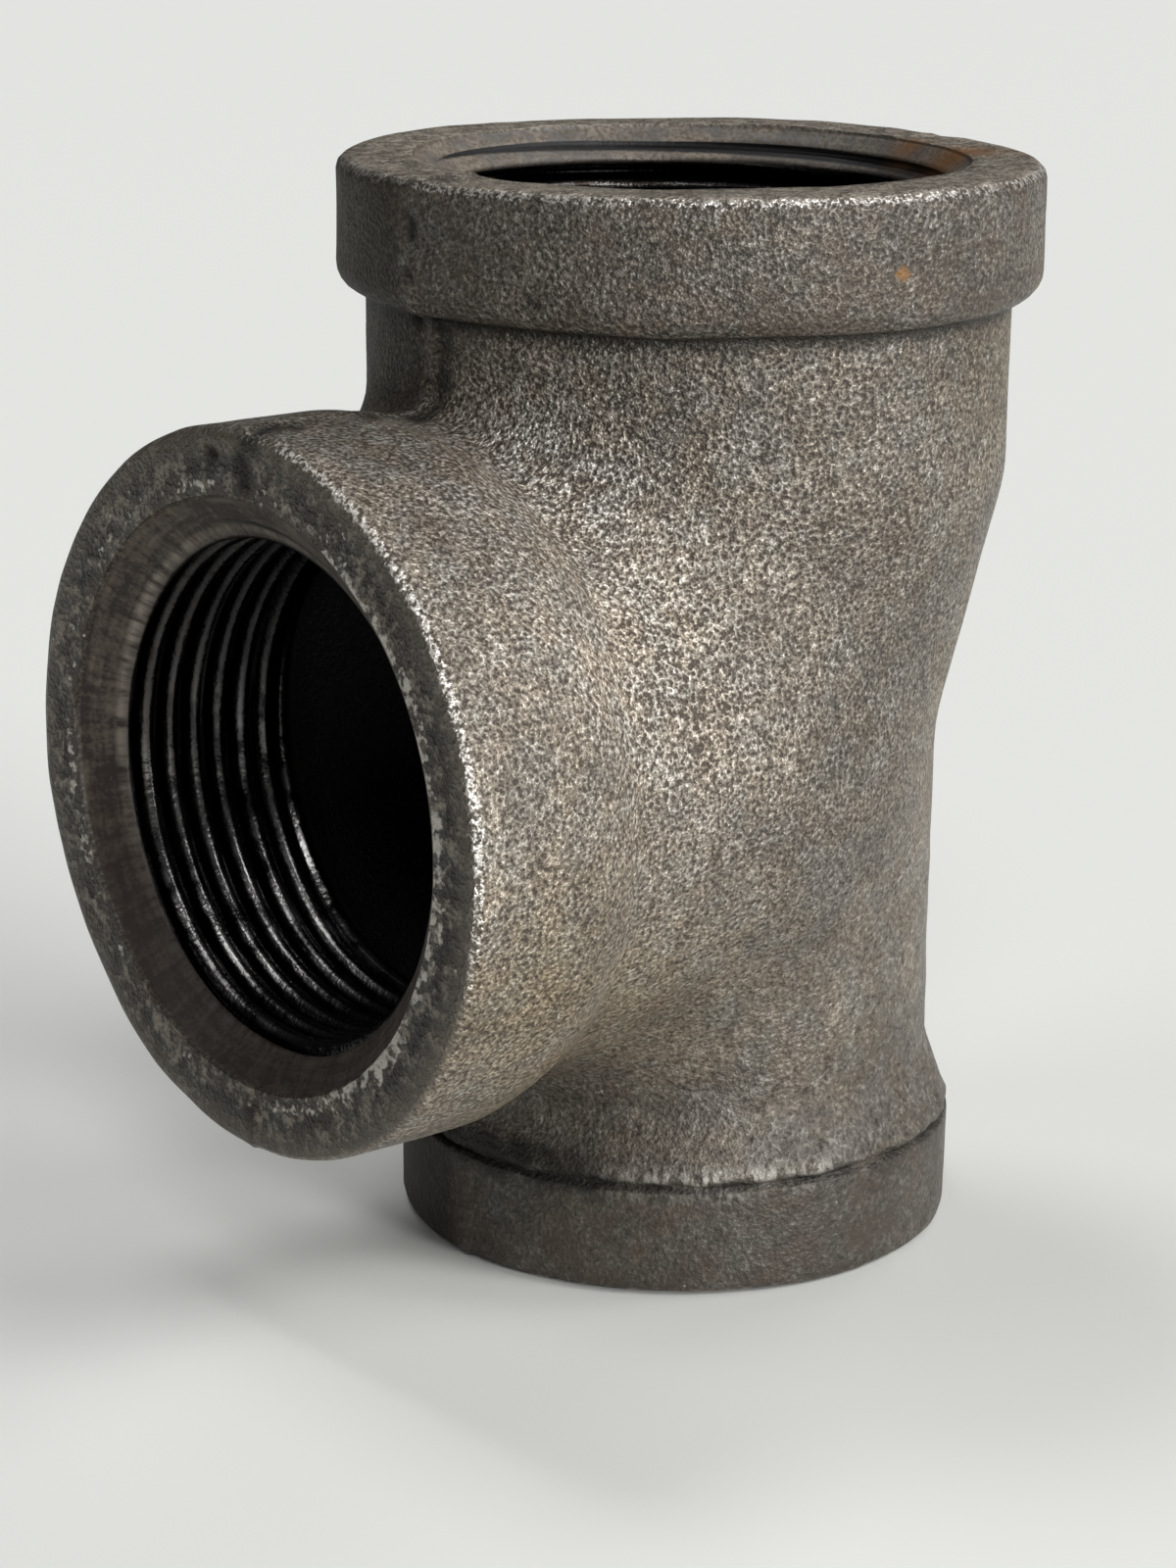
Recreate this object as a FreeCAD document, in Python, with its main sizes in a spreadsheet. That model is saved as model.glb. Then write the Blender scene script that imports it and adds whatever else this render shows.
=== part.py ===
"""Reducing pipe tee, cast in one piece, with three threaded ends.

The run stands along +Z: its upper end is the large one and its lower end the small one. The
branch, as large as the upper end, points along -Y. The origin is where the two centrelines
cross, which is the point that the lengths of a tee are measured from. Millimetres.
"""

import FreeCAD, Part
import math
import os

import Sketcher

# The driving dimensions. A radius is taken from its own centreline, a length from the crossing.
SIZES = {
    # centre to end face
    "upper_length": 44.45,
    "lower_length": 41.9,
    "branch_length": 43.3,
    # the bands round the mouths
    "large_band_radius": 27.6,
    "small_band_radius": 22.55,
    "mouth_edge_break": 0.9,
    "lower_band_step": 0.25,
    # bare neck between the corner of run and branch and the shoulder of each band
    "upper_neck_room": 9.05,
    "branch_neck_room": 0.95,
    "lower_neck_room": 2.1,
    # how far each shoulder runs; the band takes the rest of its arm
    "upper_shoulder_length": 2.0,
    "branch_shoulder_length": 5.1,
    "lower_shoulder_length": 5.6,
    # the body between the bands
    "large_neck_radius": 25.25,
    "small_neck_radius": 20.45,
    "reducer_top": 20.5,
    "reducer_length": 20.5,
    "reducer_blend": 14.0,
    "branch_root_reach": 12.0,
    "crotch_radius": 5.5,
    # the cored waterway
    "large_wall": 3.75,
    "small_wall": 3.4,
    # bored and tapped ends: the bore is the tap drill's, which is the thread's crest
    "large_bore_radius": 19.05,
    "small_bore_radius": 14.65,
    "upper_thread_depth": 17.5,
    "branch_thread_depth": 17.3,
    "lower_thread_depth": 15.0,
    "upper_countersink_radius": 21.8,
    "branch_countersink_radius": 22.6,
    "lower_countersink_radius": 17.9,
    "large_countersink_depth": 2.9,
    "small_countersink_depth": 2.6,
}


NEAR = 0.001  # points this close are the same point
PROBE_SHARES = (0.25, 0.5, 0.75)  # where along an edge it is tested


class Bound:
    """A length worked out from the sheet: its value now, and the expression that keeps it so."""

    def __init__(self, value, text):
        self.value = value
        self.text = text

    def join(self, other, sign, value):
        return Bound(value, f"({self.text} {sign} {other.text})")

    def __add__(self, other):
        return self.join(other, "+", self.value + other.value)

    def __sub__(self, other):
        return self.join(other, "-", self.value - other.value)

    def __mul__(self, other):
        return self.join(other, "*", self.value * other.value)

    def __truediv__(self, other):
        return self.join(other, "/", self.value / other.value)

    def __neg__(self):
        return Bound(-self.value, f"(-1 * {self.text})")


def number(value):
    return Bound(value, str(value))


def make_sheet(doc):
    sheet = doc.addObject("Spreadsheet::Sheet", "Sizes")
    for row, (name, value) in enumerate(SIZES.items(), start=1):
        sheet.set(f"A{row}", name)
        sheet.set(f"B{row}", str(value))
        sheet.setAlias(f"B{row}", name)
    doc.recompute()
    return sheet


def origin_plane(body, role):
    return next(plane for plane in body.Origin.OriginFeatures if plane.Role == role)


def turning_arc(start, end, radius, turns_left):
    """The short arc from start to end, as (centre, first angle, last angle), counterclockwise."""
    chord = end - start
    middle = (start + end) * 0.5
    height = math.sqrt(max(radius**2 - (chord.Length / 2) ** 2, 0.0))
    to_left = FreeCAD.Vector(-chord.y, chord.x, 0).normalize()
    centre = middle + to_left * (height if turns_left else -height)
    first, last = (start, end) if turns_left else (end, start)
    angles = [math.atan2(point.y - centre.y, point.x - centre.x) for point in (first, last)]
    return centre, angles[0], angles[1]


def profile(body, name, plane_role, corners):
    """A closed sketch on one of the body's own planes.

    A corner is (across, along), and what leaves it is a straight line, or an arc where the corner
    has a third entry: (radius, True if the arc turns left). Every size is bound to the sheet.
    """
    sketch = body.newObject("Sketcher::SketchObject", name)
    sketch.AttachmentSupport = [(origin_plane(body, plane_role), "")]
    sketch.MapMode = "FlatFace"
    points = [FreeCAD.Vector(corner[0].value, corner[1].value, 0) for corner in corners]
    ends = []
    bends = []
    for place, corner in enumerate(corners):
        start = points[place]
        end = points[(place + 1) % len(points)]
        if len(corner) == 2:
            edge = sketch.addGeometry(Part.LineSegment(start, end), False)
            ends.append((edge, 1, 2))
            continue
        radius, turns_left = corner[2]
        centre, first, last = turning_arc(start, end, radius.value, turns_left)
        circle = Part.Circle(centre, FreeCAD.Vector(0, 0, 1), radius.value)
        edge = sketch.addGeometry(Part.ArcOfCircle(circle, first, last), False)
        ends.append((edge, 1, 2) if turns_left else (edge, 2, 1))
        bends.append((edge, radius))
    for place, (edge, first, last) in enumerate(ends):
        following = ends[(place + 1) % len(ends)]
        sketch.addConstraint(Sketcher.Constraint("Coincident", edge, last, following[0], following[1]))
    for (edge, first, last), corner in zip(ends, corners):
        for kind, size in (("DistanceX", corner[0]), ("DistanceY", corner[1])):
            made = sketch.addConstraint(Sketcher.Constraint(kind, -1, 1, edge, first, size.value))
            sketch.setExpression(f"Constraints[{made}]", size.text)
    for edge, radius in bends:
        made = sketch.addConstraint(Sketcher.Constraint("Radius", edge, radius.value))
        sketch.setExpression(f"Constraints[{made}]", radius.text)
    return sketch


def turned(body, kind, name, sketch):
    """A full turn of the sketch about its own upright axis, added or taken away."""
    feature = body.newObject(kind, name)
    feature.Profile = (sketch, [""])
    feature.ReferenceAxis = (sketch, ["V_Axis"])
    feature.Angle = 360
    sketch.Visibility = False
    body.Document.recompute()
    return feature


def turned_solid(feature):
    """What a turned feature adds or takes away, in the body's own frame."""
    solid = feature.AddSubShape.copy()
    solid.Placement = feature.Placement.multiply(solid.Placement)
    return solid


def shared_edges(shape, first, second):
    """Names of the shape's edges that lie on the skins of both other shapes."""
    names = []
    skins = [Part.makeCompound(other.Faces) for other in (first, second)]
    for place, edge in enumerate(shape.Edges, start=1):
        low, high = edge.ParameterRange
        probes = [edge.valueAt(low + (high - low) * share) for share in PROBE_SHARES]
        away = max(skin.distToShape(Part.Vertex(probe))[0] for skin in skins for probe in probes)
        if away < NEAR:
            names.append(f"Edge{place}")
    return names


def ring_edge(shape, radius, height):
    """Name of the shape's whole circle about Z that has this radius and this height."""
    centre = FreeCAD.Vector(0, 0, height.value)
    for place, edge in enumerate(shape.Edges, start=1):
        centred = edge.CenterOfMass.distanceToPoint(centre) < NEAR
        if edge.isClosed() and centred and abs(edge.Length - math.tau * radius.value) < NEAR:
            return f"Edge{place}"
    raise RuntimeError(f"no circle of radius {radius.value} at height {height.value}")


def rounded(body, name, base, edges, radius):
    feature = body.newObject("PartDesign::Fillet", name)
    feature.Base = (base, edges)
    feature.Radius = radius.value
    feature.setExpression("Radius", radius.text)
    body.Document.recompute()
    return feature


def run_outline(size):
    """The outside of the run, from its upper face down to its lower face."""
    zero = number(0)
    edge = size["mouth_edge_break"]
    band = size["large_band_radius"]
    neck = size["large_neck_radius"]
    small_band = size["small_band_radius"]
    small_neck = size["small_neck_radius"]
    upper = size["upper_length"]
    lower = -size["lower_length"]
    upper_shoulder = neck + size["upper_neck_room"]
    lower_shoulder = -(neck + size["lower_neck_room"])
    step = size["lower_band_step"]
    seat = lower_shoulder - size["lower_shoulder_length"]
    return [
        (zero, upper),
        (zero, lower),
        (small_band - edge, lower),
        (small_band, lower + edge),
        (small_band, seat - step),
        (small_band - step, seat),
        (small_neck, lower_shoulder),
        (small_neck, size["reducer_top"] - size["reducer_length"]),
        (neck, size["reducer_top"]),
        (neck, upper_shoulder),
        (band, upper_shoulder + size["upper_shoulder_length"]),
        (band, upper - edge),
        (band - edge, upper),
    ]


def branch_outline(size):
    """The outside of the branch, from its face in to its round root inside the run."""
    zero = number(0)
    edge = size["mouth_edge_break"]
    band = size["large_band_radius"]
    neck = size["large_neck_radius"]
    face = -size["branch_length"]
    root = -size["branch_root_reach"]
    shoulder = -(neck + size["branch_neck_room"])
    return [
        (zero, face),
        (band - edge, face),
        (band, face + edge),
        (band, shoulder - size["branch_shoulder_length"]),
        (neck, shoulder),
        (neck, root, (neck, True)),
        (zero, root + neck),
    ]


def run_core(size):
    """The waterway through the run: two countersinks, two bores and the chamber between."""
    zero = number(0)
    large = size["large_bore_radius"]
    small = size["small_bore_radius"]
    wide = size["large_neck_radius"] - size["large_wall"]
    narrow = size["small_neck_radius"] - size["small_wall"]
    upper = size["upper_length"]
    lower = -size["lower_length"]
    upper_bore_end = upper - size["upper_thread_depth"]
    lower_bore_end = lower + size["lower_thread_depth"]
    return [
        (zero, upper),
        (zero, lower),
        (size["lower_countersink_radius"], lower),
        (small, lower + size["small_countersink_depth"]),
        (small, lower_bore_end),
        (narrow, lower_bore_end + (narrow - small)),
        (narrow, size["reducer_top"] - size["reducer_length"]),
        (wide, upper_bore_end - (wide - large)),
        (large, upper_bore_end),
        (large, upper - size["large_countersink_depth"]),
        (size["upper_countersink_radius"], upper),
    ]


def branch_core(size):
    """The waterway of the branch, with a round end inside the run."""
    zero = number(0)
    bore = size["large_bore_radius"]
    wide = size["large_neck_radius"] - size["large_wall"]
    face = -size["branch_length"]
    root = -size["branch_root_reach"]
    bore_end = face + size["branch_thread_depth"]
    return [
        (zero, face),
        (size["branch_countersink_radius"], face),
        (bore, face + size["large_countersink_depth"]),
        (bore, bore_end),
        (wide, bore_end + (wide - bore)),
        (wide, root, (wide, True)),
        (zero, root + wide),
    ]


def make_casting(doc, size):
    body = doc.addObject("PartDesign::Body", "tee_casting")
    body.Label = "tee_casting"
    run_sketch = profile(body, "RunOutline", "XZ_Plane", run_outline(size))
    run = turned(body, "PartDesign::Revolution", "Run", run_sketch)
    top_ring = ring_edge(run.Shape, size["large_neck_radius"], size["reducer_top"])
    reducer_bottom = size["reducer_top"] - size["reducer_length"]
    bottom_ring = ring_edge(run.Shape, size["small_neck_radius"], reducer_bottom)
    blend = rounded(body, "ReducerBlend", run, [top_ring, bottom_ring], size["reducer_blend"])
    branch_sketch = profile(body, "BranchOutline", "XY_Plane", branch_outline(size))
    branch = turned(body, "PartDesign::Revolution", "Branch", branch_sketch)
    crotch = shared_edges(branch.Shape, blend.Shape, turned_solid(branch))
    rounded(body, "Crotch", branch, crotch, size["crotch_radius"])
    run_core_sketch = profile(body, "RunWaterway", "XZ_Plane", run_core(size))
    turned(body, "PartDesign::Groove", "RunCore", run_core_sketch)
    branch_core_sketch = profile(body, "BranchWaterway", "XY_Plane", branch_core(size))
    turned(body, "PartDesign::Groove", "BranchCore", branch_core_sketch)
    return body


def check(doc, bodies):
    for item in doc.Objects:
        if "Invalid" in item.State or "Error" in item.State:
            raise RuntimeError(f"{item.Name} did not build: {item.State}")
    for body in bodies:
        if body.Shape.isNull() or not body.Shape.isValid() or len(body.Shape.Solids) != 1:
            raise RuntimeError(f"{body.Label} is not one valid solid")


def main():
    doc = FreeCAD.newDocument("reducing_tee")
    sheet = make_sheet(doc)
    size = {name: Bound(float(sheet.get(name)), f"Sizes.{name}") for name in SIZES}
    bodies = [make_casting(doc, size)]
    check(doc, bodies)
    os.makedirs("parts", exist_ok=True)
    for body in bodies:
        body.Shape.exportStep(f"parts/{body.Label}.step")
        print(body.Label, "volume", round(body.Shape.Volume), "faces", len(body.Shape.Faces))


main()
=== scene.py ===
# %% [markdown]
# # A black iron reducing tee
# The real part is one sand casting. Its two arms in line are the run, and the arm at the side is
# the branch. The mould leaves a grainy skin, and the three mouths are bored and tapped afterwards.
# Everything here is worked out in millimetres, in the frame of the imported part: the origin is
# where the two centrelines cross, +Z runs up the run and -Y runs out of the branch.

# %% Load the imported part
import math

import bpy
import numpy as np
from mathutils import Matrix, Vector


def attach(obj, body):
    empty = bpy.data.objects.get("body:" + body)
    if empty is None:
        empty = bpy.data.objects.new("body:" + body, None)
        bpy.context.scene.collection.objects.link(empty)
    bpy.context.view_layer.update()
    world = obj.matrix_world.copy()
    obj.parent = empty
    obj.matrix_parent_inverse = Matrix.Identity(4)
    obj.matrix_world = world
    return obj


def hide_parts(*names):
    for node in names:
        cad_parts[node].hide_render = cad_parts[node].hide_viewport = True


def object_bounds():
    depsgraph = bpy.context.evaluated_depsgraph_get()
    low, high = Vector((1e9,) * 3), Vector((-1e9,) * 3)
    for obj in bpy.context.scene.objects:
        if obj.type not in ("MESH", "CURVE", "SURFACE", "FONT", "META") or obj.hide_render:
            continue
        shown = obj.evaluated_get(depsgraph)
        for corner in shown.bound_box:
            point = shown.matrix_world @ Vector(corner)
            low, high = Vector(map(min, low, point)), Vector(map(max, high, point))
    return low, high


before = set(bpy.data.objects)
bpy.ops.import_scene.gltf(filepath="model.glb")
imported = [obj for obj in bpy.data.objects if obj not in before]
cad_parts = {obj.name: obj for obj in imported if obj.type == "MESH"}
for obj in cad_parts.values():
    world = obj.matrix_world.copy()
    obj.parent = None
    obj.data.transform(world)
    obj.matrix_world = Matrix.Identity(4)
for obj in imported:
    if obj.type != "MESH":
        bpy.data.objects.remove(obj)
cad_low, cad_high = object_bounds()
MM = 0.001
print("solid's box", [round(side / MM, 2) for side in cad_high - cad_low])

# %% [markdown]
# ## The camera
# The camera comes first, because every look at the part depends on it. Its place was worked out
# from the ellipses of the mouths. It aims past the part a little, so it is turned until the
# crossing of the centrelines falls on its own spot in a picture of 1200 by 1600.

# %% Camera
PICTURE = np.array([1200.0, 1600.0])
FOCAL_PIXELS = 3830.93
AZIMUTH = math.radians(48.05)
ELEVATION = math.radians(14.834)
ROLL = math.radians(1.012)
DISTANCE = 304.625
CROSSING_PIXEL = np.array([695.64, 721.04])
LONG_SIDE_OF_SENSOR = 36.0
NEAREST_SEEN = 0.01

back = Vector((
    math.sin(AZIMUTH) * math.cos(ELEVATION),
    -math.cos(AZIMUTH) * math.cos(ELEVATION),
    math.sin(ELEVATION),
))
right = Vector((math.cos(AZIMUTH), math.sin(AZIMUTH), 0))
level = Matrix((right, back.cross(right), back)).transposed()
off_centre = (CROSSING_PIXEL - PICTURE / 2) / FOCAL_PIXELS
sight = Vector((off_centre[0], -off_centre[1], -1))
aim = Vector((0, 0, -1)).rotation_difference(sight).to_matrix()
turned = level @ Matrix.Rotation(ROLL, 3, "Z") @ aim.transposed()

camera_data = bpy.data.cameras.new("camera")
camera_data.sensor_width = LONG_SIDE_OF_SENSOR
camera_data.lens = FOCAL_PIXELS / PICTURE[1] * LONG_SIDE_OF_SENSOR
camera_data.clip_start = NEAREST_SEEN
camera = bpy.data.objects.new("camera", camera_data)
camera.matrix_world = Matrix.Translation(back * DISTANCE * MM) @ turned.to_4x4()
bpy.context.scene.collection.objects.link(camera)
bpy.context.scene.camera = camera
print("lens", round(camera_data.lens, 1), "mm")

# %% [markdown]
# ## Outlines
# A turned form needs only half of its section. Each outline is a list of corners, and each corner
# has a radius, because a sand mould holds no sharp edge. Along the run an outline is
# (distance from the axis, height), and along the branch it is (distance from the axis, y).

# %% Outlines of the skin
UPPER = 44.45
LOWER = -41.9
FACE = -43.3
LARGE_NECK = 25.25
SMALL_NECK = 20.45
LARGE_BAND = 27.6
SMALL_BAND = 22.55
RUN_STEP = 1.0
BRANCH_STEP = 0.9
ARC_FINENESS = 1.5

run_corners = [
    (21.8, UPPER, 0),
    (LARGE_BAND, UPPER, 1.1),
    (LARGE_BAND, 34.6, 2.2),
    (LARGE_NECK, 34.1, 0.5),
    (LARGE_NECK, 20.5, 14),
    (SMALL_NECK, 0.0, 14),
    (SMALL_NECK, -27.2, 2),
    (22.45, -32.3, 0.6),
    (22.05, -32.9, 0.1),
    (SMALL_BAND, -33.3, 0.2),
    (SMALL_BAND, LOWER, 1.1),
    (17.9, LOWER, 0),
]
branch_corners = [
    (LARGE_NECK, -12, 0),
    (LARGE_NECK, -26, 3),
    (LARGE_BAND, -31.2, 12),
    (LARGE_BAND, FACE, 1.0),
    (22.6, FACE, 0),
]


def rounded_path(corners, step):
    """Points along a path whose corners are rounded.

    An arc of radius r leaves each side of a corner at r * tan(turn / 2) from it, so that it is
    tangent to both. Between arcs the path is straight, cut into equal steps.
    """
    points = np.array([corner[:2] for corner in corners], float)
    made = [points[:1]]
    last = points[0]
    for before, here, after, corner in zip(points, points[1:], points[2:], corners[1:]):
        to_before = (before - here) / np.linalg.norm(before - here)
        to_after = (after - here) / np.linalg.norm(after - here)
        turn = math.pi - math.acos(np.clip(to_before @ to_after, -1, 1))
        reach = corner[2] * math.tan(turn / 2)
        first = here + to_before * reach
        end = here + to_after * reach
        middle = to_before + to_after
        centre = here + middle / np.linalg.norm(middle) * corner[2] / math.cos(turn / 2)
        arc_steps = max(3, math.ceil(turn * corner[2] / step * ARC_FINENESS))
        share = np.linspace(0, 1, arc_steps + 1)[:, None]
        arms = np.sin((1 - share) * turn) * (first - centre) + np.sin(share * turn) * (end - centre)
        made += [straight(last, first, step), centre + arms / math.sin(turn)]
        last = end
    made += [straight(last, points[-1], step), points[-1:]]
    return np.concatenate(made)


def straight(start, end, step):
    """The points between start and end, both left out, at equal steps."""
    count = max(1, round(np.linalg.norm(end - start) / step))
    share = np.arange(1, count)[:, None] / count
    return start + (end - start) * share


run_skin = rounded_path(run_corners, RUN_STEP)
branch_skin = rounded_path(branch_corners, BRANCH_STEP)
print("outline points", len(run_skin), len(branch_skin))

# %% [markdown]
# ## Tapped mouths
# A tapped bore is a cone with a spiral groove. The groove's place depends on the sum of depth and
# angle, so one formula of those two gives the whole thread. The countersink is a steeper cone,
# and wherever it is wider than the thread, it has cut the thread away.

# %% Thread
PITCH = 2.209
TAPER = 1 / 32
TOOTH = 1.5
CREST_SHARE = 0.30
ROOT_SHARE = 0.08
RUN_OUT = 3.5
START_TURN = -0.06
BORE_EASE = 0.12


def groove(phase):
    """How deep the groove is at a share of a turn, from 0 on the crest to 1 at the root."""
    from_crest = np.abs(2 * (phase % 1) - 1)
    return np.clip((from_crest - CREST_SHARE) / (1 - CREST_SHARE - ROOT_SHARE), 0, 1)


def hollow(depth, turn, length):
    """The groove's depth as a share of a full one. It runs out before the bore's end."""
    return np.clip((length - depth) / RUN_OUT, 0, 1) * groove(depth / PITCH + turn + START_TURN)


def mouth_radius(depth, turn, sink, bore, length):
    """Radius of a tapped mouth at a depth below its face, at a turn counted in whole turns.

    It is the wider of the thread and the countersink. sink is (radius at the face, depth where
    the countersink meets the bore).
    """
    crest = bore + BORE_EASE - depth * TAPER
    thread = crest + TOOTH * hollow(depth, turn, length)
    countersink = sink[0] - depth * (sink[0] - bore) / sink[1]
    return np.maximum(thread, countersink)


LARGE_BORE = 19.05
SMALL_BORE = 14.65
mouths = {
    "upper": {"sink": (21.8, 2.2), "bore": LARGE_BORE, "length": 17.5},
    "branch": {"sink": (22.6, 2.9), "bore": LARGE_BORE, "length": 17.3},
    "lower": {"sink": (17.9, 2.6), "bore": SMALL_BORE, "length": 15.0},
}
THREAD_STEP = 0.24
for name, mouth in mouths.items():
    print(name, "mouth has", round(mouth["length"] / PITCH, 1), "turns of thread")

# %% [markdown]
# ## Where run and branch meet
# The hardest place on a tee is the corner between its two pipes. Each pipe is written as a
# distance: negative inside, nought on the skin, positive outside. Two such distances are joined
# so that the corner becomes an arc, which is what a founder's fillet is. The branch is as wide as
# the upper run but wider than the lower one, so it ends in half a ball inside the run.

# %% Distances
ROOT_REACH = -12.0
CHAMBER = 21.5
NARROW_CHAMBER = 17.05
CHAMBER_TOP = 24.5
SKIN_FILLET = 5.5
CORE_FILLET = 2.5
SLOPE_REACH = 0.2


def run_radius(height, inside):
    """Radius of the run at a height: its skin's, or its chamber's where inside is true."""
    if inside:
        return np.interp(height, (0, CHAMBER_TOP), (NARROW_CHAMBER, CHAMBER))
    return np.interp(-height, -run_skin[:, 1], run_skin[:, 0])


def branch_radius(y, inside):
    """Radius of the branch at y, outside or inside."""
    if inside:
        return np.full_like(y, CHAMBER)
    return np.interp(-y, -branch_skin[:, 1], branch_skin[:, 0])


def run_distance(points, inside):
    """Distance to the run: (radius here - radius of the run) times the cosine of its slope."""
    height = points[..., 2]
    radius = run_radius(height, inside)
    above = run_radius(height + SLOPE_REACH, inside)
    below = run_radius(height - SLOPE_REACH, inside)
    slope = (above - below) / (2 * SLOPE_REACH)
    return (np.hypot(points[..., 0], points[..., 1]) - radius) / np.hypot(1, slope)


def branch_distance(points, inside):
    """Distance to the branch: sqrt(x^2 + z^2 + beyond^2) - radius, so a ball beyond its root."""
    y = points[..., 1]
    beyond = np.maximum(y - ROOT_REACH, 0)
    across = np.sqrt(points[..., 0] ** 2 + points[..., 2] ** 2 + beyond**2)
    return across - branch_radius(np.minimum(y, ROOT_REACH), inside)


def joined(points, inside):
    """Both distances joined by a fillet of radius k.

    It is max(k, least of a and b) minus the length of (k - a, k - b), where neither is under 0.
    """
    k = CORE_FILLET if inside else SKIN_FILLET
    a = run_distance(points, inside)
    b = branch_distance(points, inside)
    corner = np.hypot(np.maximum(k - a, 0), np.maximum(k - b, 0))
    return np.maximum(k, np.minimum(a, b)) - corner


SETTLE_STEPS = 6
SETTLE_REACH = 0.05
LEAST_SLOPE = 0.2


def settle(points, inside):
    """Moves points onto the joined skin: each step goes back by distance times slope."""
    for _ in range(SETTLE_STEPS):
        slope = np.stack([
            joined(points + step, inside) - joined(points - step, inside)
            for step in SETTLE_REACH * np.eye(3)
        ], -1) / (2 * SETTLE_REACH)
        size = np.maximum((slope**2).sum(-1, keepdims=True), LEAST_SLOPE)
        points = points - joined(points, inside)[..., None] * slope / size
    return points


in_corner = settle(np.array([[0.0, -LARGE_NECK, LARGE_NECK]]), False)[0]
print("fillet above the branch passes", in_corner.round(1))

# %% [markdown]
# ## The run as one loop
# Going down the skin, round the lower mouth, up through the waterway and round the upper mouth
# comes back to the start, so the run is a ring of rows. Two windows are left open in it, one in
# the skin and one in the chamber, and the branch is sewn to both.

# %% Rows of the run
COLUMNS = 128
WINDOW_ROWS = 60
WINDOW_COLUMNS = 90
WINDOW_TOP = 31.5
WINDOW_BOTTOM = -31.0
CORE_TOP = 24.3
CORE_BOTTOM = -24.4

# columns stand closer together at the parting line, where x is nought
CROWDING = 0.18
even = np.arange(COLUMNS) / COLUMNS * math.tau
angles = even + CROWDING * np.sin(2 * even)


def run_rows(radius, height):
    """Rows round the run: (r cos a, r sin a, z). Either value may change along a row."""
    radius, height, turn = np.broadcast_arrays(radius, height, angles)
    return np.stack([radius * np.cos(turn), radius * np.sin(turn), height], -1)


def plain_rows(path):
    """A row for each (radius, height) of a path."""
    path = np.array(path)
    return run_rows(path[:, :1], path[:, 1:])


def tapped_rows(name, face, inward):
    """Rows down a tapped mouth of the run. inward is the sign of z going in."""
    mouth = mouths[name]
    depth = np.arange(THREAD_STEP, mouth["length"], THREAD_STEP)[:, None]
    turn = -inward * angles[None, :] / math.tau
    return run_rows(mouth_radius(depth, turn, **mouth), face + inward * depth)


def window_rows(start, end, inside):
    """Rows of the run that hold a window, from one height to another."""
    heights = np.linspace(start, end, WINDOW_ROWS + 1)[:, None]
    return run_rows(run_radius(heights, inside), heights)


ROOM = 0.2
parts_of_run = [
    ("skin", window_rows(WINDOW_TOP, WINDOW_BOTTOM, False)),
    ("skin", plain_rows(run_skin[run_skin[:, 1] < WINDOW_BOTTOM - ROOM])),
    ("cut", tapped_rows("lower", LOWER, 1)),
    ("core", plain_rows([(NARROW_CHAMBER - 0.2, -25.5), (NARROW_CHAMBER, -25.1)])),
    ("core", window_rows(CORE_BOTTOM, CORE_TOP, True)),
    ("core", plain_rows([(CHAMBER, CHAMBER_TOP + 0.2), (CHAMBER - 0.3, CHAMBER_TOP + 0.6)])),
    ("cut", tapped_rows("upper", UPPER, -1)[::-1]),
    ("skin", plain_rows(run_skin[run_skin[:, 1] > WINDOW_TOP + ROOM])),
]
run_points = np.concatenate([rows for _, rows in parts_of_run])
run_kinds = np.concatenate([[kind] * len(rows) for kind, rows in parts_of_run])
core_start = sum(len(rows) for _, rows in parts_of_run[:4])
for first_row, inside in ((0, False), (core_start, True)):
    window = slice(first_row, first_row + WINDOW_ROWS + 1)
    run_points[window] = settle(run_points[window], inside)
run_index = np.arange(run_points.shape[0] * COLUMNS).reshape(-1, COLUMNS)
print("rows of the run", len(run_points))

# %% [markdown]
# ## The branch as a strip from window to window
# Each column of the branch starts on the rim of the window in the skin. It climbs the fillet,
# follows the branch out to its mouth, turns in over the face, goes down the thread and ends on
# the rim of the window in the chamber.

# %% Rims of the windows
middle_column = int(np.argmin(np.abs(even - 1.5 * math.pi)))
half_columns = WINDOW_COLUMNS // 2
half_rows = WINDOW_ROWS // 2
rim_count = 2 * (WINDOW_COLUMNS + WINDOW_ROWS)


def rim(top_row, bottom_row):
    """Row and column of each rim point, from the middle of the +X side, up and round."""
    down = 1 if bottom_row > top_row else -1
    middle_row = top_row + down * half_rows
    right_side = middle_column + half_columns
    left_side = middle_column - half_columns
    up = np.arange(half_rows)
    along = np.arange(WINDOW_COLUMNS)
    full = np.arange(WINDOW_ROWS)
    rows = np.concatenate([
        middle_row - down * up,
        np.full(WINDOW_COLUMNS, top_row),
        top_row + down * full,
        np.full(WINDOW_COLUMNS, bottom_row),
        bottom_row - down * up,
    ])
    columns = np.concatenate([
        np.full(half_rows, right_side),
        right_side - along,
        np.full(WINDOW_ROWS, left_side),
        left_side + along,
        np.full(half_rows, right_side),
    ])
    return rows, columns % COLUMNS


skin_rim = rim(0, WINDOW_ROWS)
core_rim = rim(core_start + WINDOW_ROWS, core_start)
print("points on each rim", rim_count)

# %% [markdown]
# The strip needs to know where the branch first meets the run, because its rows run along the
# branch up to there and along the run beyond it. The meeting line is found for every column at
# once: the distance to the run is worked out at many places, and the first change of sign counts.

# %% Line where branch and run meet
round_branch = np.arange(rim_count) / rim_count * math.tau


def arm_rows(radius, y):
    """Rows round the branch: (r cos a, y, r sin a). Either value may change along a row."""
    radius, y, turn = np.broadcast_arrays(radius, y, round_branch)
    return np.stack([radius * np.cos(turn), y, radius * np.sin(turn)], -1)


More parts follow.
